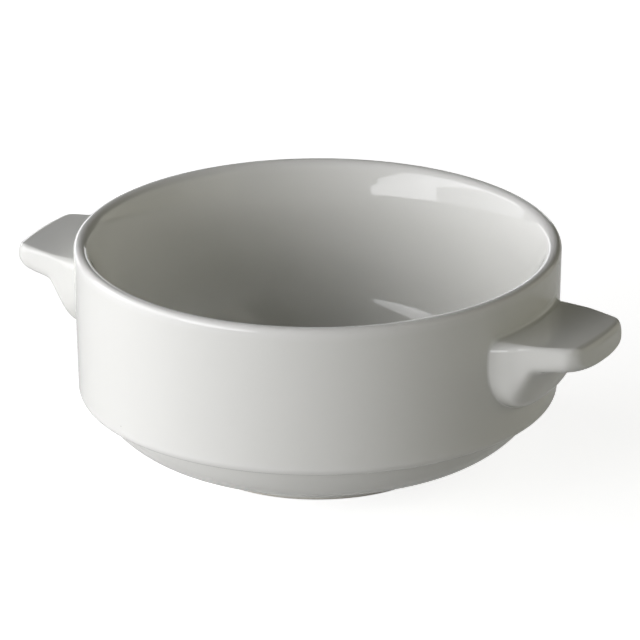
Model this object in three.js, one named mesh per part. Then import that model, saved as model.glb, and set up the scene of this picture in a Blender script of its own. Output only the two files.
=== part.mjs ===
// Stacking soup bowl in glazed porcelain with two lug handles, in millimetres, +Z up.
// It stands on its foot ring at z = 0, and the handles lie along X.
// The pieces are joined as potters join them: foot ring and handles are stuck to the body with slip.
import * as THREE from 'three';
import { mergeGeometries, mergeVertices } from 'three/addons/utils/BufferGeometryUtils.js';

// Body
const rimRadius = 58; // outside of the lip
const bowlHeight = 54;
const wallThickness = 6;
const wallFootRadius = 57; // outside of the wall at its lower edge
const wallEdgeRadius = 2.2; // soft lower edge of the wall
const lipThickness = 3.8; // fully round
const lipLean = 22; // degrees that the inside leans outwards just under the lip
const ledgeHeight = 16.4; // level of the ledge that sits on the rim of a bowl below
const stackingClearance = 0.6; // between the collar under the ledge and the inside of that rim
const collarArcRadius = 23.2; // round belly from the ledge in to the foot
const floorThickness = 4.4;
const floorCornerRadius = 18.8; // inside, from the wall to the floor
const wellRise = 1.1; // how far the underside domes up inside the foot ring

// Foot ring
const footRadius = 30.2;
const footWidth = 4.2;
const footHeight = 2.85;
const footDraft = 0.6; // how much wider the ring is on each side where it meets the body
const footEdgeRadius = 0.8;

// Slip joints
const jointGap = 0.3; // each side of the slip
const slipThickness = 0.6;
const slipBead = 0.7; // how far the slip spreads on the body, past what it holds

// Handles: lugs with a level top, on a U-shaped root that is scooped out below them
const handleLength = 19; // from the wall to the tip
const handleDrop = 9.8; // from the rim down to the top of the lug
const handleThickness = 7.4;
const handleTipWidth = 24.8;
const handleRootWidth = 34.2;
const rootFlare = 0.3; // how much wider the root is on each side
const flareStart = 2.6; // from the root to where its flare starts to fade
const flareEnd = 5.2;
const handleSideHeight = 2; // upright part of the lug's sides, with the top edge
const handleEdgeRadius = 1.1; // along the top
const tipEdgeRadius = 2;
const rootEdgeRadius = 2.7; // along the top of the root, at the wall
const handleCornerRadius = 3.3; // of the tip, seen from above
const tipRunIn = 5.2; // length over which the underside rises to the tip
const tipRise = 1.9;
const rootHeight = 20.1; // on the wall, from the top of the lug
const rootSideHeight = 5.2; // upright part of the root's sides, above its U-shaped lower end
const lugRoundness = 4.5; // exponents of the section's lower half: 2 is an ellipse
const rootRoundness = 2.3;
const tipRoundness = 2.8;
const scoopStart = 3.1; // thickness of the root above its rounded lower end
const scoopSlope = 2.5; // rise of the scoop per length
const scoopStartBlend = 3; // softness of the rounded lower end
const scoopEndBlend = 2.5; // softness of the hollow corner under the lug

// Facets
const turnSegments = 72;
const bodyArcDivisions = 3;
const footArcDivisions = 2;
const topSteps = 4; // from the middle of the lug's top to its edge
const edgeSteps = 4;
const undersideSteps = 12;
const scoopSteps = 10;
const tipSteps = 8;

const lipRadius = lipThickness / 2;
const lipCentreHeight = bowlHeight - lipRadius;
const wallLow = ledgeHeight + wallEdgeRadius;
const taper = Math.atan((rimRadius - wallFootRadius) / (lipCentreHeight - wallLow)); // of the wall
const slipSeat = 2 * jointGap + slipThickness;
const undersideHeight = footHeight + slipSeat;
const floorHeight = undersideHeight + floorThickness;
const footInnerRadius = footRadius - footWidth;
const handleTop = bowlHeight - handleDrop;
const lugLength = handleLength - slipSeat; // of the piece itself, in front of its slip
const scoopEnd = scoopStart + (rootHeight - handleThickness) / scoopSlope + scoopEndBlend;

const glaze = { color: 0xf0efe9, roughness: 0.12, metalness: 0 };
const biscuit = { color: 0xe4dfd3, roughness: 0.75, metalness: 0 };
const slip = { color: 0xe9e6dc, roughness: 0.6, metalness: 0 };

// Outside radius of the tapered wall at a height.
function wallRadius(height) {
  return wallFootRadius + (height - wallLow) * Math.tan(taper);
}

// A closed skin: shared vertices are joined, and triangles that fold to a line are dropped.
function closedSkin(geometry) {
  geometry.deleteAttribute('normal');
  geometry.deleteAttribute('uv');
  const skin = mergeVertices(geometry);
  const corners = skin.index.array;
  const kept = [];
  for (let i = 0; i < corners.length; i += 3) {
    const [a, b, c] = corners.slice(i, i + 3);
    if (a !== b && b !== c && c !== a) kept.push(a, b, c);
  }
  skin.setIndex(kept);
  skin.computeVertexNormals();
  return skin;
}

// A profile of radius and height, turned about the Z axis.
function turned(profile, divisions) {
  const lathe = new THREE.LatheGeometry(profile.getPoints(divisions), turnSegments);
  return closedSkin(lathe.rotateX(Math.PI / 2));
}

// A sheet through rows that all have as many points. Closed rows join their last point to their first.
function sheet(rows, closedRows) {
  const count = rows[0].length;
  const across = closedRows ? count : count - 1;
  const corners = [];
  for (let row = 0; row < rows.length - 1; row++) {
    for (let i = 0; i < across; i++) {
      const here = row * count + i;
      const next = row * count + (i + 1) % count;
      corners.push(here, here + count, next, next, here + count, next + count);
    }
  }
  const geometry = new THREE.BufferGeometry().setFromPoints(rows.flat());
  geometry.setIndex(corners);
  return geometry;
}

// Steps from 0 to 1.
function steps(count) {
  return Array.from({ length: count + 1 }, (_, i) => i / count);
}

// From the underside's middle out to the ledge, up the wall, over the lip and down to the floor.
// Arc and line run into each other, and inside a wide arc flares the wall out to the lip.
function bodyProfile() {
  const collarRadius = rimRadius - lipThickness - stackingClearance;
  const arcHeight = undersideHeight + collarArcRadius;
  const ledgeAngle = Math.asin((arcHeight - ledgeHeight) / collarArcRadius);
  const arcCentre = collarRadius - collarArcRadius * Math.cos(ledgeAngle);
  const wellRadius = footInnerRadius - footDraft - slipBead;
  const edgeCentre = wallFootRadius - wallEdgeRadius;
  const lipCentre = rimRadius - lipRadius;
  const lean = THREE.MathUtils.degToRad(lipLean);
  const turn = Math.cos(lean - taper);
  const narrowing = wallThickness * Math.cos(taper) - lipRadius * (Math.cos(taper) + turn);
  const flareRadius = narrowing / (1 - turn);
  const flareCentre = lipCentre + (flareRadius - lipRadius) * Math.cos(lean);
  const flareHeight = lipCentreHeight - (flareRadius - lipRadius) * Math.sin(lean);
  const cornerHeight = floorHeight + floorCornerRadius;
  const cornerEnd = cornerHeight - floorCornerRadius * Math.sin(taper);
  const cornerCentre = wallRadius(cornerEnd) - wallThickness - floorCornerRadius * Math.cos(taper);
  const profile = new THREE.Path();
  profile.moveTo(0, undersideHeight + wellRise);
  profile.quadraticCurveTo(wellRadius / 2, undersideHeight + wellRise, wellRadius, undersideHeight);
  profile.lineTo(arcCentre, undersideHeight);
  profile.absarc(arcCentre, arcHeight, collarArcRadius, -Math.PI / 2, -ledgeAngle);
  profile.lineTo(edgeCentre, ledgeHeight);
  profile.absarc(edgeCentre, wallLow, wallEdgeRadius, -Math.PI / 2, -taper);
  profile.absarc(lipCentre, lipCentreHeight, lipRadius, -taper, Math.PI / 2);
  profile.absarc(lipCentre, lipCentreHeight, lipRadius, Math.PI / 2, Math.PI - lean);
  profile.absarc(flareCentre, flareHeight, flareRadius, Math.PI - lean, Math.PI - taper);
  profile.absarc(cornerCentre, cornerHeight, floorCornerRadius, -taper, -Math.PI / 2, true);
  profile.lineTo(0, floorHeight);
  return profile;
}

// A flat land with rounded edges, and sides that lean out to the body.
function footProfile() {
  const profile = new THREE.Path();
  profile.moveTo(footInnerRadius + footEdgeRadius, 0);
  profile.lineTo(footRadius - footEdgeRadius, 0);
  profile.absarc(footRadius - footEdgeRadius, footEdgeRadius, footEdgeRadius, -Math.PI / 2, 0);
  profile.lineTo(footRadius + footDraft, footHeight);
  profile.lineTo(footInnerRadius - footDraft, footHeight);
  profile.lineTo(footInnerRadius, footEdgeRadius);
  profile.absarc(footInnerRadius + footEdgeRadius, footEdgeRadius, footEdgeRadius, Math.PI, 1.5 * Math.PI);
  profile.closePath();
  return profile;
}

// Ring between foot and body. Its upper side spreads past the foot on both sides.
function footSlipProfile() {
  const low = footHeight + jointGap;
  const high = low + slipThickness;
  const inner = footInnerRadius - footDraft;
  const outer = footRadius + footDraft;
  const profile = new THREE.Path();
  profile.moveTo(inner, low);
  profile.lineTo(outer, low);
  profile.lineTo(outer + slipBead, high);
  profile.lineTo(inner - slipBead, high);
  profile.closePath();
  return profile;
}

// Quarter ellipse that draws a boundary in over the last run before the tip.
function drawnIn(distance, run, amount) {
  const share = THREE.MathUtils.clamp((distance - lugLength + run) / run, 0, 1);
  return amount * (1 - Math.sqrt(1 - share * share));
}

// The greater of two lengths, with the corner where they cross rounded off.
function softMax(first, second, softness) {
  return (first + second + Math.hypot(first - second, softness)) / 2;
}

// Depth of the handle in the middle, from its top down to the scoop.
function handleDepth(distance) {
  const run = softMax(distance - scoopStart, 0, scoopStartBlend) - softMax(-scoopStart, 0, scoopStartBlend);
  return softMax(handleThickness, rootHeight - scoopSlope * run, scoopEndBlend);
}

// Half of the handle's width, narrowing from the flared root to the tip.
function handleHalfWidth(distance) {
  const flare = rootFlare * (1 - THREE.MathUtils.smoothstep(distance, flareStart, flareEnd));
  const half = THREE.MathUtils.lerp(handleRootWidth, handleTipWidth, distance / lugLength) / 2;
  return half + flare - drawnIn(distance, handleCornerRadius, handleCornerRadius);
}

// Half section across the handle at a distance from its root: offsets from the middle and heights,
// from the top's middle, over the edge and down the side to the underside's middle.
function handleSection(distance) {
  const depth = handleDepth(distance);
  const halfWidth = handleHalfWidth(distance);
  const rooted = THREE.MathUtils.inverseLerp(handleThickness, rootHeight, depth); // 1 at the wall
  const tipped = THREE.MathUtils.clamp((distance - scoopEnd) / (lugLength - scoopEnd), 0, 1);
  const freeRadius = THREE.MathUtils.lerp(handleEdgeRadius, tipEdgeRadius, tipped);
  const edgeRadius = THREE.MathUtils.lerp(freeRadius, rootEdgeRadius, rooted ** 2);
  const top = handleTop - drawnIn(distance, tipEdgeRadius, tipEdgeRadius);
  const bottom = handleTop - depth + drawnIn(distance, tipRunIn, tipRise);
  const edgeLow = top - edgeRadius;
  const sideLow = handleTop - THREE.MathUtils.lerp(handleSideHeight, rootSideHeight, rooted);
  const shoulder = Math.min(sideLow, edgeLow);
  const freeRoundness = THREE.MathUtils.lerp(lugRoundness, tipRoundness, tipped);
  const power = 2 / THREE.MathUtils.lerp(freeRoundness, rootRoundness, rooted ** 3);
  const flat = halfWidth - edgeRadius;
  const half = [];
  for (const t of steps(topSteps)) {
    half.push([flat * t, top]);
  }
  for (const t of steps(edgeSteps).slice(1)) {
    const angle = t * Math.PI / 2;
    half.push([flat + edgeRadius * Math.sin(angle), edgeLow + edgeRadius * Math.cos(angle)]);
  }
  for (const t of steps(undersideSteps)) {
    const angle = t * Math.PI / 2;
    const across = t < 1 ? Math.pow(Math.cos(angle), power) : 0;
    half.push([halfWidth * across, shoulder - (shoulder - bottom) * Math.pow(Math.sin(angle), power)]);
  }
  return half;
}

// A point on an upright surface round the bowl's axis, whose radius depends on the height.
function onSurface(across, height, radiusAt) {
  const radius = radiusAt(height);
  return new THREE.Vector3(Math.sqrt(radius * radius - across * across), across, height);
}

// The whole section as a ring on such a surface, with the other side mirrored.
function sectionRing(half, radiusAt) {
  const mirrored = half.slice(1, -1).reverse().map(([across, height]) => [-across, height]);
  return [...half, ...mirrored].map(([across, height]) => onSurface(across, height, radiusAt));
}

// The face inside the ring, as level rows from one side to the other. A positive side faces outwards.
function sectionFace(half, radiusAt, side) {
  const columns = steps(2 * topSteps).map((t) => side * (2 * t - 1));
  const rows = half.slice(topSteps).map(([across, height]) => (
    columns.map((column) => onSurface(across * column, height, radiusAt))
  ));
  return sheet(rows, false);
}

// A solid through sections, each with its surface, from the wall outwards.
function lofted(stations) {
  const first = stations[0];
  const last = stations[stations.length - 1];
  const rings = stations.map(({ half, radiusAt }) => sectionRing(half, radiusAt));
  return closedSkin(mergeGeometries([
    sectionFace(first.half, first.radiusAt, -1),
    sheet(rings, true),
    sectionFace(last.half, last.radiusAt, 1),
  ]));
}

// Distances from the root: even steps along the scoop, and crowded where the tip curves most.
function handleDistances() {
  const scoop = steps(scoopSteps).map((t) => scoopEnd * t);
  const tip = steps(tipSteps).map((t) => lugLength - tipRunIn * (1 - Math.sin(t * Math.PI / 2)));
  const distances = [...scoop, ...tip].filter((distance) => distance >= 0 && distance <= lugLength);
  return distances.sort((a, b) => a - b);
}

function handleGeometry() {
  const tipRadius = wallRadius(handleTop) + handleLength;
  return lofted(handleDistances().map((distance) => {
    const radiusAt = (height) => {
      const root = wallRadius(height) + slipSeat;
      return THREE.MathUtils.lerp(root, tipRadius, distance / lugLength);
    };
    return { half: handleSection(distance), radiusAt };
  }));
}

// Pad between a handle's root and the wall. Its wall side spreads past the root all round.
function handleSlipGeometry() {
  const root = handleSection(0);
  const middle = handleTop - rootHeight / 2;
  const wider = 1 + 2 * slipBead / handleRootWidth;
  const taller = 1 + 2 * slipBead / rootHeight;
  const spread = root.map(([across, height]) => [across * wider, middle + (height - middle) * taller]);
  return lofted([
    { half: spread, radiusAt: (height) => wallRadius(height) + jointGap },
    { half: root, radiusAt: (height) => wallRadius(height) + jointGap + slipThickness },
  ]);
}

function piece(name, geometry, finish) {
  const mesh = new THREE.Mesh(geometry, new THREE.MeshStandardMaterial(finish));
  mesh.name = name;
  return mesh;
}

const bowl = new THREE.Group();
bowl.add(
  piece('bowl_body', turned(bodyProfile(), bodyArcDivisions), glaze),
  piece('foot_ring', turned(footProfile(), footArcDivisions), biscuit),
  piece('foot_slip', turned(footSlipProfile(), footArcDivisions), slip),
);

// The two handles are alike, half a turn apart.
for (const [side, turn] of [['right', 0], ['left', Math.PI]]) {
  const lug = new THREE.Group();
  lug.rotation.z = turn;
  lug.add(
    piece(`handle_${side}`, handleGeometry(), glaze),
    piece(`handle_${side}_slip`, handleSlipGeometry(), slip),
  );
  bowl.add(lug);
}

export default bowl;
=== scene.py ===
"""Looks of a two-handled porcelain soup bowl: its fine surfaces, glaze, table, lights and camera.

Lengths are in metres and angles in degrees. The bowl's axis is +Z, it stands on z = 0, and +X runs
through the middle of the right handle.
"""

from math import cos, pi, radians, sin

import bpy
import numpy as np
from mathutils import Matrix, Vector


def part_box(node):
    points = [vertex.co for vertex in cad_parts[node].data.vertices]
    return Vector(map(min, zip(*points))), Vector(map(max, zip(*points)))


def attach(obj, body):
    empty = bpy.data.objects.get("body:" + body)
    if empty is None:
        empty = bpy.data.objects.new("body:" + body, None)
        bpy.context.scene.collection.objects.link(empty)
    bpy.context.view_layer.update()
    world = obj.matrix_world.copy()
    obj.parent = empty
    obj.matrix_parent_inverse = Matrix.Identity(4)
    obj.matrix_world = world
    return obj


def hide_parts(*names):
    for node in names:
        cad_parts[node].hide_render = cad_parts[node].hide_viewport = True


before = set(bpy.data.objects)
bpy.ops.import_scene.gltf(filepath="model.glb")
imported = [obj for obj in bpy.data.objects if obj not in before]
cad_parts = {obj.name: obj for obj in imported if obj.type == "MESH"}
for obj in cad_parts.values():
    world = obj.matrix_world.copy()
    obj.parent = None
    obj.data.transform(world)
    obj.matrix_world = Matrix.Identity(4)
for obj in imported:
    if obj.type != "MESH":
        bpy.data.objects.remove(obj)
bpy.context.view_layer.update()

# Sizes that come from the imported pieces
body_low, body_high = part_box("bowl_body")
foot_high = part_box("foot_ring")[1]
lug_low, lug_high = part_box("handle_right")
RIM_RADIUS = body_high.x
BOWL_HEIGHT = body_high.z
UNDERSIDE = body_low.z
FOOT_TOP_RADIUS = foot_high.x
FOOT_TOP = foot_high.z
LUG_REACH = lug_high.x
LUG_TOP = lug_high.z
LUG_ROOT_LOW = lug_low.z

# Curves of the body
LIP = 0.0038
LIP_OUTER_EDGE = 0.0015  # its radius, and the inner edge has the rest of the lip
LIP_LEAN = 27.0  # of the inside, just under the lip
WALL = 0.006
WALL_FOOT_RADIUS = 0.057
WALL_EDGE = 0.0022
LEDGE = 0.0164
LEDGE_FILLET = 0.0007
STACKING_CLEARANCE = 0.0006
COLLAR_RADIUS = RIM_RADIUS - LIP - STACKING_CLEARANCE
BELLY_ARC = 0.0232
FLOOR_THICKNESS = 0.0044
FLOOR = UNDERSIDE + FLOOR_THICKNESS
FLOOR_CORNER = 0.0188
DOME_RADIUS = 0.0247
DOME_RISE = 0.0011
GATHER_RADIUS = 0.003  # a hollow of this radius is full of glaze
GATHER_SPREAD = 0.003

# Foot ring and the slip that joins it to the body
FOOT_WIDTH = 0.0042
FOOT_DRAFT = 0.0006
FOOT_EDGE = 0.0008
FOOT_BEAD = 0.0009
FOOT_SUNK = 0.0004  # how far hidden ends reach into the body
BEAD_SUNK = 0.0001  # of the inner bead's edge, into the body

# Lug handles, with lengths measured from the wall outwards
LUG_THICKNESS = 0.0074
LUG_TIP_HALF = 0.0124
LUG_EDGE = 0.0011
LUG_CORNER = 0.0033
LUG_SIDE = 0.002
LUG_ROUNDNESS = 4.5  # exponents of the section's lower half: 2 is an ellipse
LUG_TIP_RUN = 0.0052
LUG_TIP_RISE = 0.0019
TIP_ROUNDNESS = 2.8
TIP_EDGE = 0.002
ROOT_HALF = 0.0175
ROOT_FLARE = 0.00015
FLARE_START = 0.0038
FLARE_END = 0.0064
ROOT_EDGE = 0.0027
ROOT_SIDE = 0.0052
ROOT_ROUNDNESS = 2.3
ROOT_SUNK = 0.0015
SCOOP_START = 0.0039
SCOOP_SLOPE = 2.5
SCOOP_START_BLEND = 0.003
SCOOP_END_BLEND = 0.0018
LUG_BEAD = 0.0005
LUG_TOP_BEAD = 0.0016
LUG_GATHER = 0.0012
BEAD_TUCK = 0.00003  # how far a bead's edges tuck under the glaze beside it

# Fineness of the grids
TURNS = 360
BEAD_STEPS = 7
FLAT_POINTS = 13
EDGE_POINTS = 11
SIDE_POINTS = 7
UNDER_POINTS = 48
SCOOP_STATIONS = 60
TIP_STATIONS = 22
CLOSEST_STATIONS = 2e-6
CLOSEST_POINTS = 1e-8  # along a profile
WELD = 1e-7  # points of a mesh this close become one


# Grids and meshes

def arc(r, z, radius, start, end, count):
    """Points on a circle about (r, z), turning evenly from the start angle to the end angle."""
    turn = np.radians(np.linspace(start, end, count))
    return np.stack([r + radius * np.cos(turn), z + radius * np.sin(turn)], axis=1)


def line(start, end, count):
    """Evenly spaced points from start to end."""
    t = np.linspace(0, 1, count)[:, None]
    return np.array(start) * (1 - t) + np.array(end) * t


def bend(start, corner, end, t):
    """A quadratic curve: at the share t, a point drawn from start to end by way of the corner."""
    return (1 - t) ** 2 * np.array(start) + 2 * t * (1 - t) * np.array(corner) + t ** 2 * np.array(end)


def joined(*stretches):
    """Stretches of a profile end to end, with the points that meet kept once."""
    points = np.concatenate(stretches)
    step = np.linalg.norm(np.diff(points, axis=0), axis=1)
    return points[np.concatenate([[True], step > CLOSEST_POINTS])]


def revolve(profile):
    """Turns a profile of (radius, height) about the Z axis: x = r cos a, y = r sin a, z = height."""
    turn = np.linspace(0, 2 * np.pi, TURNS, endpoint=False)
    r, z = profile[:, :1], profile[:, 1:]
    return np.stack([r * np.cos(turn), r * np.sin(turn), z + 0 * turn], axis=-1)


def grid_faces(rows, columns, rows_meet, columns_meet):
    """Corner numbers of the quads of a grid, whose last row or column may meet its first."""
    row = np.arange(rows if rows_meet else rows - 1)[:, None]
    column = np.arange(columns if columns_meet else columns - 1)[None, :]
    next_row, next_column = (row + 1) % rows, (column + 1) % columns
    corners = [(row, column), (row, next_column), (next_row, next_column), (next_row, column)]
    return np.stack([r * columns + c + 0 * row + 0 * column for r, c in corners], axis=-1).reshape(-1, 4)


def piece(name, grids, material, replaced):
    """Joins grids into one closed mesh: points that coincide become one, and quads that lose a side
    become triangles. Each grid is (points, hollow, rows_meet, columns_meet)."""
    faces, count = [], 0
    for points, hollow, rows_meet, columns_meet in grids:
        rows, columns = points.shape[:2]
        faces.append(grid_faces(rows, columns, rows_meet, columns_meet) + count)
        count += rows * columns
    points = np.concatenate([grid[0].reshape(-1, 3) for grid in grids])
    hollow = np.concatenate([np.broadcast_to(grid[1], grid[0].shape[:2]).ravel() for grid in grids])
    _, kept, number = np.unique(np.round(points / WELD).astype(np.int64), axis=0,
                                return_index=True, return_inverse=True)
    quads = number.reshape(-1)[np.concatenate(faces)]
    lost = quads == np.roll(quads, -1, axis=1)
    whole = quads[lost.sum(axis=1) == 0]
    pinched = lost.sum(axis=1) == 1
    threes = quads[pinched][~lost[pinched]].reshape(-1, 3)

    mesh = bpy.data.meshes.new(name)
    mesh.from_pydata(points[kept].tolist(), [], whole.tolist() + threes.tolist())
    mesh.polygons.foreach_set("use_smooth", np.ones(len(mesh.polygons), bool))
    gather = mesh.attributes.new("hollow", "FLOAT", "POINT")
    gather.data.foreach_set("value", hollow[kept].astype(np.float32))
    mesh.materials.append(material)
    made = bpy.data.objects.new(name, mesh)
    bpy.context.scene.collection.objects.link(made)
    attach(made, "root")
    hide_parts(replaced)


def hollowness(profile, full, spread):
    """Where glaze gathers: the profile's turn per length, averaged over a spread, positive in a hollow
    and negative on a bulge. A curve of the radius `full` counts as 1."""
    step = np.diff(profile, axis=0)
    length = np.concatenate([[0], np.cumsum(np.linalg.norm(step, axis=1))])
    heading = np.unwrap(np.arctan2(step[:, 1], step[:, 0]))
    middle = (length[1:] + length[:-1]) / 2
    ahead = np.interp(length + spread / 2, middle, heading)
    behind = np.interp(length - spread / 2, middle, heading)
    return np.clip((behind - ahead) / spread * full, -1, 1)[:, None]


# Body and foot

WALL_LOW = LEDGE + WALL_EDGE
WALL_TOP = BOWL_HEIGHT - LIP / 2
TAPER = np.degrees(np.arctan((RIM_RADIUS - WALL_FOOT_RADIUS) / (WALL_TOP - WALL_LOW)))


def wall_radius(z):
    """Outside of the wall, a cone from its lower edge to the lip."""
    return WALL_FOOT_RADIUS + (RIM_RADIUS - WALL_FOOT_RADIUS) * (z - WALL_LOW) / (WALL_TOP - WALL_LOW)


def belly_profile():
    """The underside, from its middle to the ledge: a shallow dome, a flat that the foot stands under,
    the belly's arc, and the fillet under the ledge."""
    dome = np.linspace(0, DOME_RADIUS, 24)
    belly_z = UNDERSIDE + BELLY_ARC
    belly_r = COLLAR_RADIUS - np.sqrt(BELLY_ARC ** 2 - (belly_z - LEDGE) ** 2)
    fillet_z = LEDGE - LEDGE_FILLET
    fillet_r = belly_r + np.sqrt((BELLY_ARC + LEDGE_FILLET) ** 2 - (belly_z - fillet_z) ** 2)
    meet = np.degrees(np.arctan2(fillet_z - belly_z, fillet_r - belly_r))
    return joined(
        np.stack([dome, UNDERSIDE + DOME_RISE * (1 - (dome / DOME_RADIUS) ** 2)], axis=1),
        line((DOME_RADIUS, UNDERSIDE), (belly_r, UNDERSIDE), 8),
        arc(belly_r, belly_z, BELLY_ARC, -90, meet, 30),
        arc(fillet_r, fillet_z, LEDGE_FILLET, meet + 180, 90, 8))


def body_profile():
    """Half section of the body, from the middle of the underside round the lip to the middle of the
    floor: the belly, the tapered wall with a rounded lower edge, the round lip with a tighter outer
    edge, an inside that flares out to it along an arc, and a wide round corner at the floor."""
    taper, lean = np.radians(TAPER), np.radians(LIP_LEAN)
    drawn = np.cos(lean - taper)
    inner_edge = LIP - LIP_OUTER_EDGE
    lip_r, inner_z = RIM_RADIUS - LIP_OUTER_EDGE, BOWL_HEIGHT - inner_edge
    outside = LIP_OUTER_EDGE * np.cos(taper) - (WALL_TOP - inner_z) * np.sin(taper)
    flare = (WALL * np.cos(taper) - outside - inner_edge * drawn) / (1 - drawn)
    flare_r = lip_r + (flare - inner_edge) * np.cos(lean)
    flare_z = inner_z - (flare - inner_edge) * np.sin(lean)
    corner_z = FLOOR + FLOOR_CORNER
    corner_end = corner_z - FLOOR_CORNER * np.sin(taper)
    corner_r = wall_radius(corner_end) - WALL - FLOOR_CORNER * np.cos(taper)

    belly = belly_profile()
    edge = arc(WALL_FOOT_RADIUS - WALL_EDGE, WALL_LOW, WALL_EDGE, -90, -TAPER, 14)
    lip = joined(arc(lip_r, BOWL_HEIGHT - LIP_OUTER_EDGE, LIP_OUTER_EDGE, -TAPER, 90, 17),
                 arc(lip_r, inner_z, inner_edge, 90, 180 - LIP_LEAN, 22))
    flared = arc(flare_r, flare_z, flare, 180 - LIP_LEAN, 180 - TAPER, 26)
    corner = arc(corner_r, corner_z, FLOOR_CORNER, -TAPER, -90, 40)
    return joined(
        belly, line(belly[-1], edge[0], 4),
        edge, line(edge[-1], lip[0], 24), lip,
        flared, line(flared[-1], corner[0], 6),
        corner, line(corner[-1], (0, FLOOR), 16))


def foot_radii(z):
    """Inner and outer radius of the foot ring, whose sides lean apart as they rise."""
    out = FOOT_DRAFT * (z / FOOT_TOP - 1)
    return FOOT_TOP_RADIUS - FOOT_WIDTH - 2 * FOOT_DRAFT - out, FOOT_TOP_RADIUS + out


def foot_profile():
    """Section of the foot ring: a flat land with eased edges between leaning sides, and a top that is
    sunk into the body."""
    top = UNDERSIDE + FOOT_SUNK
    inner_top, outer_top = foot_radii(top)
    inner, outer = foot_radii(FOOT_EDGE)
    slope = np.degrees(np.arctan(FOOT_DRAFT / FOOT_TOP))
    inner_edge = arc(inner + FOOT_EDGE, FOOT_EDGE, FOOT_EDGE, 180 + slope, 270, 8)
    outer_edge = arc(outer - FOOT_EDGE, FOOT_EDGE, FOOT_EDGE, -90, -slope, 8)
    return joined(line((inner_top, top), inner_edge[0], 10), inner_edge,
                  line(inner_edge[-1], outer_edge[0], 8), outer_edge,
                  line(outer_edge[-1], (outer_top, top), 10),
                  line((outer_top, top), (inner_top, top), 4)[:-1])


def foot_joint_profile():
    """Section of the slip at the foot: a hollow bead on each side, closed inside the ring and the body."""
    low = UNDERSIDE - FOOT_BEAD
    inner_low, outer_low = foot_radii(low)
    inner, outer = foot_radii(UNDERSIDE)
    top = UNDERSIDE + FOOT_SUNK
    t = np.linspace(0, 1, 9)[:, None]
    outside = bend((outer_low, low), (outer, UNDERSIDE), (outer + FOOT_BEAD, UNDERSIDE), t)
    inside = bend((inner - FOOT_BEAD, UNDERSIDE + BEAD_SUNK), (inner, UNDERSIDE), (inner_low, low), t)
    ends = line((outer + FOOT_BEAD, top), (inner - FOOT_BEAD, top), 4)
    return joined(outside, ends, inside,
                  line((inner_low + FOOT_SUNK, low), (outer_low - FOOT_SUNK, low), 4))


# Lug handles

LUG_LENGTH = LUG_REACH - wall_radius(LUG_TOP)
ROOT_HEIGHT = LUG_TOP - LUG_ROOT_LOW
SCOOP_END = SCOOP_START + (ROOT_HEIGHT - LUG_THICKNESS) / SCOOP_SLOPE + SCOOP_END_BLEND


def soft_max(first, second, softness):
    """The greater of two lengths, with the corner where they cross rounded off as a hyperbola."""
    return (first + second + np.hypot(first - second, softness)) / 2


def drawn_in(s, run, rise):
    """How far an edge has drawn in at s: a quarter ellipse over the last run of the lug's length."""
    beyond = np.clip((s - (LUG_LENGTH - run)) / run, 0, 1)
    return rise * (1 - np.sqrt(1 - beyond ** 2))


def lug_depth(s):
    """Depth of the lug at s: the root's, and then a slope that scoops it out to the lug's thickness."""
    before = soft_max(-SCOOP_START, 0, SCOOP_START_BLEND)
    run = soft_max(s - SCOOP_START, 0, SCOOP_START_BLEND) - before
    return soft_max(LUG_THICKNESS, ROOT_HEIGHT - SCOOP_SLOPE * run, SCOOP_END_BLEND)


def lug_half_width(s):
    """Half the lug's width at s: straight sides that taper, a flare that fades smoothly away from the
    root, and round corners at the tip."""
    fading = np.clip((s - FLARE_START) / (FLARE_END - FLARE_START), 0, 1)
    flare = ROOT_FLARE * (1 - fading ** 2 * (3 - 2 * fading))
    straight = ROOT_HALF - (ROOT_HALF - LUG_TIP_HALF) * s / LUG_LENGTH
    return straight + flare - drawn_in(s, LUG_CORNER, LUG_CORNER)


def lug_half_section(s):
    """Half of the lug's section, s from the wall, listed from the middle of the top to the middle of the
    bottom: a level top, a round edge, an upright side, then a quarter of a superellipse. The edge, the
    side and the exponent go from the root's to the lug's as the scoop deepens, and on to the tip's."""
    s = np.atleast_1d(s)[:, None].clip(0)
    depth, half = lug_depth(s), lug_half_width(s)
    rooted = (depth - LUG_THICKNESS) / (ROOT_HEIGHT - LUG_THICKNESS)
    tipped = np.clip((s - SCOOP_END) / (LUG_LENGTH - SCOOP_END), 0, 1)
    free_edge = LUG_EDGE + (TIP_EDGE - LUG_EDGE) * tipped
    edge_radius = free_edge + (ROOT_EDGE - free_edge) * rooted ** 2
    top = LUG_TOP - drawn_in(s, TIP_EDGE, TIP_EDGE)
    low = LUG_TOP - depth + drawn_in(s, LUG_TIP_RUN, LUG_TIP_RISE)
    shoulder = np.minimum(LUG_TOP - LUG_SIDE - (ROOT_SIDE - LUG_SIDE) * rooted, top - edge_radius)
    free_roundness = LUG_ROUNDNESS + (TIP_ROUNDNESS - LUG_ROUNDNESS) * tipped
    power = 2 / (free_roundness + (ROOT_ROUNDNESS - free_roundness) * rooted ** 3)

    flat = np.linspace(0, 1, FLAT_POINTS)[None]
    edge = np.linspace(0, np.pi / 2, EDGE_POINTS)[None, 1:]
    side = np.linspace(0, 1, SIDE_POINTS)[None, 1:-1]
    turn = np.linspace(0, np.pi / 2, UNDER_POINTS)[None]
    y = [flat * (half - edge_radius), half - edge_radius * (1 - np.sin(edge)), half + 0 * side,
         half * np.cos(turn).clip(0) ** power]
    z = [top + 0 * flat, top - edge_radius * (1 - np.cos(edge)),
         (top - edge_radius) * (1 - side) + shoulder * side,
         shoulder - (shoulder - low) * np.sin(turn) ** power]
    return np.concatenate(y, axis=1), np.concatenate(z, axis=1)


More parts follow.
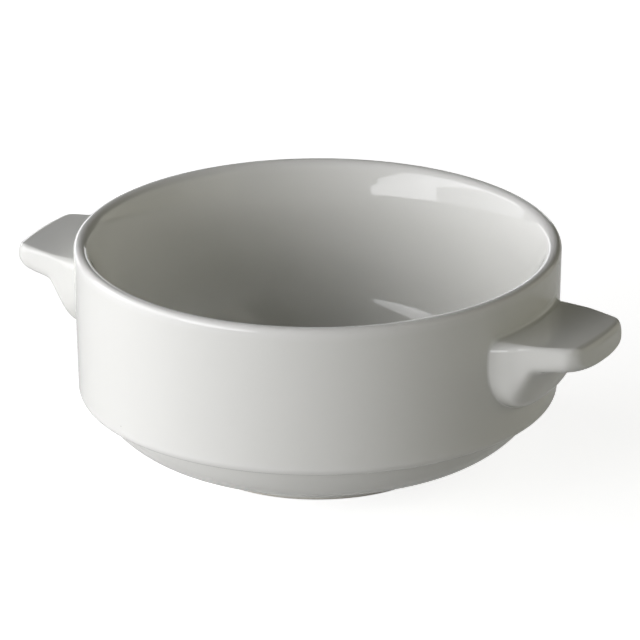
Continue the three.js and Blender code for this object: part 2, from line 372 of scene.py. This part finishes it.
def on_lug(s, y, z):
    """Places points of a section round the bowl: they lie on the wall's cone where s is 0, on a cylinder
    at the tip, and between them at the share s / length of the way."""
    wall = wall_radius(z)
    radius = wall + (LUG_REACH - wall) * s / LUG_LENGTH
    return np.stack([np.sqrt(radius ** 2 - y ** 2), y, z], axis=-1)


def ring(y, z):
    """A whole section from its half: up one side from the bottom, and down the other."""
    return (np.concatenate([y[:, ::-1], -y[:, 1:-1]], axis=1),
            np.concatenate([z[:, ::-1], z[:, 1:-1]], axis=1))


def end_face(s, facing):
    """Fills a section with rows between mirrored points, from the level top to the bottom. `facing` is 1
    for a face that looks out and -1 for one that looks at the bowl's axis."""
    y, z = lug_half_section(s)
    y, z = y[0, FLAT_POINTS - 1:, None], z[0, FLAT_POINTS - 1:, None]
    across = np.linspace(facing, -facing, 2 * FLAT_POINTS - 1)[None]
    return on_lug(s, y * across, z + 0 * across)


def lug_stations():
    """Places along the lug's length: two inside the wall, even steps to the tip, and from there steps
    that crowd as a sine does, for the tip's rise and for its edge."""
    swing = np.sin(np.linspace(0, np.pi / 2, TIP_STATIONS))
    sunk = [-ROOT_SUNK, -ROOT_SUNK / 2]
    scoop = np.linspace(0, LUG_LENGTH - LUG_TIP_RUN, SCOOP_STATIONS)[:-1]
    tip = LUG_LENGTH - LUG_TIP_RUN * (1 - swing)
    edge = LUG_LENGTH - TIP_EDGE * (1 - swing[::2])
    s = np.unique(np.round(np.concatenate([sunk, scoop, tip, edge]), 8))
    s = s[np.concatenate([np.diff(s) > CLOSEST_STATIONS, [True]])]
    s[-1] = LUG_LENGTH
    return s


def lug_grids():
    """The lug's skin, a ring of its section at each station, and its two ends. Glaze gathers at the
    wall and thins out along the lug as an exponential."""
    s = lug_stations()
    y, z = ring(*lug_half_section(s))
    hollow = np.exp(-np.clip(s, 0, None) / LUG_GATHER)[:, None]
    return [(on_lug(s[:, None], y, z), hollow, False, True),
            (end_face(LUG_LENGTH, 1), 0, False, False),
            (end_face(-ROOT_SUNK, -1), 1, False, False)]


def lug_joint_grid():
    """The slip bead round the lug's root: a hollow bend from the wall to the lug's skin, carried round
    the root's outline, wider on the level top, and closed by corners inside the wall and the lug."""
    y, z = ring(*lug_half_section(0))
    dy = np.roll(y, -1, axis=1) - np.roll(y, 1, axis=1)
    dz = np.roll(z, -1, axis=1) - np.roll(z, 1, axis=1)
    out_y, out_z = (dz / np.hypot(dy, dz))[0], (-dy / np.hypot(dy, dz))[0]
    size = LUG_BEAD + (LUG_TOP_BEAD - LUG_BEAD) * out_z.clip(0) ** 2

    def outline(s, out):
        """The root's outline with each point at its own s, moved out along the outline's normals."""
        y, z = ring(*lug_half_section(s + 0 * size))
        return on_lug(s, np.diagonal(y) + out * out_y, np.diagonal(z) + out * out_z)

    t = np.linspace(0, 1, BEAD_STEPS)[:, None, None]
    bead = bend(outline(-BEAD_TUCK, size), outline(0, 0), outline(size, -BEAD_TUCK), t)
    hidden = [outline(size, -LUG_BEAD), outline(-ROOT_SUNK, -LUG_BEAD), outline(-ROOT_SUNK, size)]
    return np.concatenate([bead, np.stack(hidden)])


def half_turn(grids):
    """The same grids on the other side of the bowl."""
    return [(points * np.array([-1, -1, 1]), *rest) for points, *rest in grids]


# Shader nodes

def node(tree, kind, inputs, **settings):
    """Adds a shader node. An input that is given a socket is linked to it, and any other value is set."""
    made = tree.nodes.new(kind)
    for name, value in settings.items():
        setattr(made, name, value)
    for name, value in inputs.items():
        if isinstance(value, bpy.types.NodeSocket):
            tree.links.new(value, made.inputs[name])
        else:
            made.inputs[name].default_value = value
    return made


def maths(tree, operation, *values):
    """One step of arithmetic on values or sockets."""
    return node(tree, "ShaderNodeMath", dict(enumerate(values)), operation=operation).outputs[0]


def mixed(tree, share, first, second):
    """A colour between two others."""
    made = node(tree, "ShaderNodeMix", {0: share, 6: first, 7: second}, data_type="RGBA")
    return made.outputs[2]


def spread_out(tree, value, low, high, to_low, to_high):
    """Maps a value from one range to another, held at the ends."""
    made = node(tree, "ShaderNodeMapRange", dict(enumerate([value, low, high, to_low, to_high])))
    return made.outputs[0]


def noise(tree, place, scale, detail):
    """Smooth noise from 0 to 1, with about `scale` bumps to the metre."""
    made = node(tree, "ShaderNodeTexNoise", {"Vector": place, "Scale": scale, "Detail": detail})
    return made.outputs["Fac"]


def object_place(tree):
    """Coordinates that stay with the bowl."""
    return node(tree, "ShaderNodeTexCoord", {}).outputs["Object"]


def new_group(name, inputs, outputs):
    """An empty node group with named sockets, and its two end nodes."""
    tree = bpy.data.node_groups.new(name, "ShaderNodeTree")
    for socket, kind in inputs.items():
        tree.interface.new_socket(socket, in_out="INPUT", socket_type="NodeSocket" + kind)
    for socket, kind in outputs.items():
        tree.interface.new_socket(socket, in_out="OUTPUT", socket_type="NodeSocket" + kind)
    return tree, tree.nodes.new("NodeGroupInput").outputs, tree.nodes.new("NodeGroupOutput").inputs


# Glaze and bare clay

CLAY_WHITE = (0.83, 0.828, 0.79, 1)
THIN_GLAZE = (0.85, 0.846, 0.815, 1)
GATHERED_GLAZE = (0.80, 0.802, 0.76, 1)
GATHER_SHARE = 0.8
GLAZE_IOR = 1.5
GLAZE_SHEEN = 0.4
GLAZE_RELIEF = 0.00003
NOISE_LOW = 0.3  # nearly all of a noise lies between these
NOISE_HIGH = 0.7
DRIFT_SCALE = 38
DRIFT_SHARE = 0.35
WAVE_SCALE = 60
PEEL_SCALE = 520
PEEL_HEIGHT = 0.05
SMOOTHEST = 0.02
ROUGHEST = 0.045
SPECK_SCALE = 240
SPECK_RARITY = 0.985
SPECK_CORE = 0.02  # radii, as shares of a cell
SPECK_RIM = 0.05
SPECK_TONE = (0.30, 0.27, 0.22, 1)
SPECK_SHARE = 0.55
SPECK_PIT = -0.15

BARE_CLAY = (0.79, 0.76, 0.69, 1)
SCUFFED_CLAY = (0.60, 0.58, 0.54, 1)
GLAZE_LINE = 0.0007
LINE_WAVER = 0.0006
LINE_SOFTNESS = 0.0001
WAVER_SCALE = 160
GRAIN_SCALE = 2600
GRAIN_SHARE = 0.25
GRAIN_HEIGHT = 0.6
SCUFF_SCALE = 420
SCUFF_START = 0.52  # levels of the noise where scuffs begin and are full
SCUFF_FULL = 0.68
SCUFF_SHARE = 0.5
FOOT_GLOSS = 0.06
BARE_ROUGHNESS = 0.75


def glaze_skin():
    """Clear glaze over white clay. It is paler where it runs thin and greyer where it gathers, drifts a
    little in tone, lies in long low waves with a fine orange-peel, and holds a few tiny specks."""
    tree, given, out = new_group(
        "glaze_skin",
        {"Place": "Vector", "Hollow": "Float", "Clay": "Color", "Thin": "Color", "Gathered": "Color"},
        {"Color": "Color", "Roughness": "Float", "Height": "Float"})
    place, hollow, gathered = given["Place"], given["Hollow"], given["Gathered"]
    drift = spread_out(tree, noise(tree, place, DRIFT_SCALE, 2), NOISE_LOW, NOISE_HIGH, 0, DRIFT_SHARE)
    tone = mixed(tree, drift, given["Clay"], gathered)
    tone = mixed(tree, spread_out(tree, hollow, 0, 1, 0, GATHER_SHARE), tone, gathered)
    tone = mixed(tree, spread_out(tree, hollow, 0, -1, 0, GATHER_SHARE), tone, given["Thin"])

    cells = node(tree, "ShaderNodeTexVoronoi", {"Vector": place, "Scale": SPECK_SCALE}).outputs
    draw = node(tree, "ShaderNodeSeparateColor", {"Color": cells["Color"]}).outputs["Red"]
    chosen = maths(tree, "GREATER_THAN", draw, SPECK_RARITY)
    dot = spread_out(tree, cells["Distance"], SPECK_CORE, SPECK_RIM, 1, 0)
    speck = maths(tree, "MULTIPLY", chosen, dot)
    tone = mixed(tree, maths(tree, "MULTIPLY", speck, SPECK_SHARE), tone, SPECK_TONE)
    tree.links.new(tone, out["Color"])

    peel = noise(tree, place, PEEL_SCALE, 1)
    gloss = spread_out(tree, peel, NOISE_LOW, NOISE_HIGH, SMOOTHEST, ROUGHEST)
    tree.links.new(gloss, out["Roughness"])
    height = maths(tree, "MULTIPLY_ADD", peel, PEEL_HEIGHT, noise(tree, place, WAVE_SCALE, 0))
    tree.links.new(maths(tree, "MULTIPLY_ADD", speck, SPECK_PIT, height), out["Height"])
    return tree


def glazed(name, clay):
    """A material with the glaze's sheen, and what the glaze skin gives over clay of this tone."""
    material = bpy.data.materials.new(name)
    material.use_nodes = True
    tree = material.node_tree
    shader = tree.nodes["Principled BSDF"].inputs
    shader["IOR"].default_value = GLAZE_IOR
    shader["Specular IOR Level"].default_value = GLAZE_SHEEN
    hollow = node(tree, "ShaderNodeAttribute", {}, attribute_name="hollow").outputs["Fac"]
    skin = node(tree, "ShaderNodeGroup", {
        "Place": object_place(tree), "Hollow": hollow,
        "Clay": clay, "Thin": THIN_GLAZE, "Gathered": GATHERED_GLAZE}, node_tree=GLAZE_SKIN)
    return material, skin.outputs


def finished(material, color, roughness, height):
    """Feeds the material's shader, with the height as a bump of the glaze's depth."""
    tree = material.node_tree
    shader = tree.nodes["Principled BSDF"].inputs
    bump = node(tree, "ShaderNodeBump", {"Strength": 1.0, "Distance": GLAZE_RELIEF, "Height": height})
    tree.links.new(color, shader["Base Color"])
    tree.links.new(roughness, shader["Roughness"])
    tree.links.new(bump.outputs["Normal"], shader["Normal"])
    return material


def porcelain():
    """White clay under the glaze."""
    material, skin = glazed("glazed_porcelain", CLAY_WHITE)
    return finished(material, skin["Color"], skin["Roughness"], skin["Height"])


def slip_bead():
    """Slip under the glaze, which has gathered in the hollow of the bead."""
    material, skin = glazed("glazed_slip", GATHERED_GLAZE)
    return finished(material, skin["Color"], skin["Roughness"], skin["Height"])


def ground_foot():
    """Glazed sides that stop at an uneven line, and below it bare ground clay with grey scuffs."""
    material, skin = glazed("ground_foot", CLAY_WHITE)
    tree = material.node_tree
    place = object_place(tree)
    height = node(tree, "ShaderNodeSeparateXYZ", {"Vector": place}).outputs["Z"]
    waver = maths(tree, "MULTIPLY_ADD", noise(tree, place, WAVER_SCALE, 1), LINE_WAVER, -LINE_WAVER / 2)
    above = maths(tree, "ADD", height, waver)
    bare = spread_out(tree, above, GLAZE_LINE - LINE_SOFTNESS, GLAZE_LINE + LINE_SOFTNESS, 1, 0)
    grain = noise(tree, place, GRAIN_SCALE, 2)
    scuff = spread_out(tree, noise(tree, place, SCUFF_SCALE, 3), SCUFF_START, SCUFF_FULL, 0, 1)
    clay = mixed(tree, maths(tree, "MULTIPLY", scuff, SCUFF_SHARE), BARE_CLAY, SCUFFED_CLAY)
    clay = mixed(tree, spread_out(tree, grain, NOISE_LOW, NOISE_HIGH, 0, GRAIN_SHARE), clay, SCUFFED_CLAY)
    color = mixed(tree, bare, skin["Color"], clay)
    roughness = spread_out(tree, bare, 0, 1, FOOT_GLOSS, BARE_ROUGHNESS)
    bare_grain = maths(tree, "MULTIPLY", grain, bare)
    return finished(material, color, roughness,
                    maths(tree, "MULTIPLY_ADD", bare_grain, GRAIN_HEIGHT, skin["Height"]))


GLAZE_SKIN = glaze_skin()
PORCELAIN, SLIP_BEAD, GROUND_FOOT = porcelain(), slip_bead(), ground_foot()


# The bowl's pieces

profile = body_profile()
gathered = hollowness(profile, GATHER_RADIUS, GATHER_SPREAD)
piece("bowl_shell", [(revolve(profile), gathered, False, True)], PORCELAIN, "bowl_body")
piece("foot", [(revolve(foot_profile()), 0, True, True)], GROUND_FOOT, "foot_ring")
piece("foot_joint", [(revolve(foot_joint_profile()), 1, True, True)], SLIP_BEAD, "foot_slip")
lug = lug_grids()
lug_joint = [(lug_joint_grid(), 1, True, True)]
piece("lug_right", lug, PORCELAIN, "handle_right")
piece("lug_right_joint", lug_joint, SLIP_BEAD, "handle_right_slip")
piece("lug_left", half_turn(lug), PORCELAIN, "handle_left")
piece("lug_left_joint", half_turn(lug_joint), SLIP_BEAD, "handle_left_slip")


# Camera

VIEW_AZIMUTH = 28.5
VIEW_ELEVATION = 21.19
VIEW_ROLL = -0.189
VIEW_DISTANCE = 2.9
VIEW_LENS = 685.7
SENSOR_WIDTH = 36
LOOKED_AT = Vector((0, 0, 0.0352))
AIM_RIGHT = 0.00055
AIM_DOWN = 0.00107

azimuth = radians(VIEW_AZIMUTH)
RIGHT = Vector((cos(azimuth), sin(azimuth), 0))
AWAY = Vector((-sin(azimuth), cos(azimuth), 0))
UP = Vector((0, 0, 1))


def photographer():
    """A camera with a very long lens, turned a little so that the bowl sits as it does in the picture."""
    elevation, roll = radians(VIEW_ELEVATION), radians(VIEW_ROLL)
    eye = LOOKED_AT + VIEW_DISTANCE * (sin(elevation) * UP - cos(elevation) * AWAY)
    level_up = cos(elevation) * UP + sin(elevation) * AWAY
    right = cos(roll) * RIGHT + sin(roll) * level_up
    up = cos(roll) * level_up - sin(roll) * RIGHT
    forward = (LOOKED_AT + AIM_RIGHT * right - AIM_DOWN * up - eye).normalized()
    up = right.cross(forward).normalized()
    right = forward.cross(up)
    lens = bpy.data.cameras.new("camera")
    lens.lens = VIEW_LENS
    lens.sensor_width = SENSOR_WIDTH
    camera = bpy.data.objects.new("camera", lens)
    camera.matrix_world = Matrix.Translation(eye) @ Matrix((right, up, -forward)).transposed().to_4x4()
    bpy.context.scene.collection.objects.link(camera)
    bpy.context.scene.camera = camera


photographer()


# Table, lights and surroundings

TABLE_SIZE = 8.0
TABLE_DROP = 0.0001
TABLE_WHITE = (0.6, 0.6, 0.59, 1)
TABLE_GLOW = 0.82
GLOSS_SHARE = 0.3
ROOM_TONE = (0.012, 0.012, 0.011, 1)
HORIZON = 0.05
WHITE = (1, 1, 1, 1)
KEY_COLOR = (1, 1, 1.03)
FILL_COLOR = (1.02, 1.0, 0.87)

# The key stands on the left, the fill on the right, and both run from near the camera to far from it
KEY_DISTANCE = 0.9
KEY_NEAR = -1.69
KEY_TOP_NEAR = -1.45
KEY_MIDDLE = -0.42
KEY_FAR = 0.65
KEY_FRONT_HEIGHT = 0.56
KEY_FRONT_TOP = 0.75
KEY_BACK_HEIGHT = 0.38
KEY_BACK_TOP = 0.66
FILL_DISTANCE = 0.6
FILL_NEAR = -0.66
FILL_MIDDLE = -0.4
FILL_FAR = 0.7
FILL_LOW = 0.1
FILL_HEIGHT = 0.42
FILL_TOP = 0.9
BACK_DISTANCE = 0.95
BACK_LEFT = -0.8
BACK_RIGHT = 0.25
BACK_TOP = 0.22


def shown_as_white(tree):
    """1 for rays from the camera, a part of it for rays from a gloss or through glass, and 0 for light on
    the object."""
    path = node(tree, "ShaderNodeLightPath", {}).outputs
    mirrored = maths(tree, "MAXIMUM", path["Is Glossy Ray"], path["Is Transmission Ray"])
    return maths(tree, "MAXIMUM", path["Is Camera Ray"], maths(tree, "MULTIPLY", mirrored, GLOSS_SHARE))


def table():
    """A pale table that is seen as white and keeps the bowl's shadow. From below it is clear."""
    half = TABLE_SIZE / 2
    corners = [(-half, -half), (half, -half), (half, half), (-half, half)]
    mesh = bpy.data.meshes.new("table")
    mesh.from_pydata([(x, y, -TABLE_DROP) for x, y in corners], [], [(0, 1, 2, 3)])
    material = bpy.data.materials.new("table_white")
    material.use_nodes = True
    tree = material.node_tree
    tree.nodes.remove(tree.nodes["Principled BSDF"])
    matte = node(tree, "ShaderNodeBsdfDiffuse", {"Color": TABLE_WHITE}).outputs[0]
    glow = node(tree, "ShaderNodeEmission", {
        "Color": WHITE, "Strength": maths(tree, "MULTIPLY", shown_as_white(tree), TABLE_GLOW)}).outputs[0]
    lit = node(tree, "ShaderNodeAddShader", {0: matte, 1: glow}).outputs[0]
    below = node(tree, "ShaderNodeNewGeometry", {}).outputs["Backfacing"]
    clear = node(tree, "ShaderNodeBsdfTransparent", {}).outputs[0]
    both = node(tree, "ShaderNodeMixShader", {0: below, 1: lit, 2: clear}).outputs[0]
    tree.links.new(both, tree.nodes["Material Output"].inputs["Surface"])
    mesh.materials.append(material)
    made = bpy.data.objects.new("table", mesh)
    bpy.context.scene.collection.objects.link(made)


def light_panel(name, toward, along, distance, span, heights, brightness, color):
    """An upright soft panel that faces the bowl. It stands at a distance in the level direction `toward`
    and spans a stretch `along` another. Its power is brightness times pi times its area."""
    (near, far), (low, high) = span, heights
    lamp = bpy.data.lights.new(name, "AREA")
    lamp.shape = "RECTANGLE"
    lamp.size, lamp.size_y = far - near, high - low
    lamp.energy = brightness * pi * lamp.size * lamp.size_y
    lamp.color = color
    panel = bpy.data.objects.new(name, lamp)
    place = Matrix.Translation(toward * distance + along * (near + far) / 2 + UP * (low + high) / 2)
    panel.matrix_world = place @ Matrix((along, toward.cross(along), toward)).transposed().to_4x4()
    panel.visible_camera = False
    bpy.context.scene.collection.objects.link(panel)


def key_panel(name, near, far, low, high, brightness):
    """A stretch of the large key light on the left."""
    light_panel(name, -RIGHT, AWAY, KEY_DISTANCE, (near, far), (low, high), brightness, KEY_COLOR)


def fill_panel(name, far, low, high, brightness):
    """A stretch of the weak fill light on the right."""
    light_panel(name, RIGHT, AWAY, FILL_DISTANCE, (FILL_NEAR, far), (low, high), brightness, FILL_COLOR)


def room():
    """A dark room that the camera sees as white, and a gloss as pale near the horizon."""
    world = bpy.data.worlds.new("room")
    bpy.context.scene.world = world
    world.use_nodes = True
    tree = world.node_tree
    direction = node(tree, "ShaderNodeTexCoord", {}).outputs["Generated"]
    height = node(tree, "ShaderNodeSeparateXYZ", {"Vector": direction}).outputs["Z"]
    camera = node(tree, "ShaderNodeLightPath", {}).outputs["Is Camera Ray"]
    horizon = maths(tree, "MAXIMUM", camera, spread_out(tree, height, 0, HORIZON, 1, 0))
    shown = maths(tree, "MULTIPLY", shown_as_white(tree), horizon)
    tree.links.new(mixed(tree, shown, ROOM_TONE, WHITE), tree.nodes["Background"].inputs["Color"])


table()
room()
key_panel("key_front", KEY_NEAR, KEY_MIDDLE, 0, KEY_FRONT_HEIGHT, brightness=5.6)
key_panel("key_front_top", KEY_TOP_NEAR, KEY_MIDDLE, KEY_FRONT_HEIGHT, KEY_FRONT_TOP, brightness=4.4)
key_panel("key_back_high", KEY_MIDDLE, KEY_FAR, KEY_BACK_HEIGHT, KEY_BACK_TOP, brightness=5.0)
key_panel("key_back_low", KEY_MIDDLE, KEY_FAR, 0, KEY_BACK_HEIGHT, brightness=1.8)
fill_panel("fill_card", FILL_FAR, FILL_LOW, FILL_HEIGHT, brightness=0.82)
fill_panel("fill_high", FILL_MIDDLE, FILL_HEIGHT, FILL_TOP, brightness=0.75)
light_panel("back_card", AWAY, RIGHT, BACK_DISTANCE, (BACK_LEFT, BACK_RIGHT), (0, BACK_TOP),
            brightness=2.0, color=KEY_COLOR)
bpy.context.scene.view_settings.view_transform = "Standard"
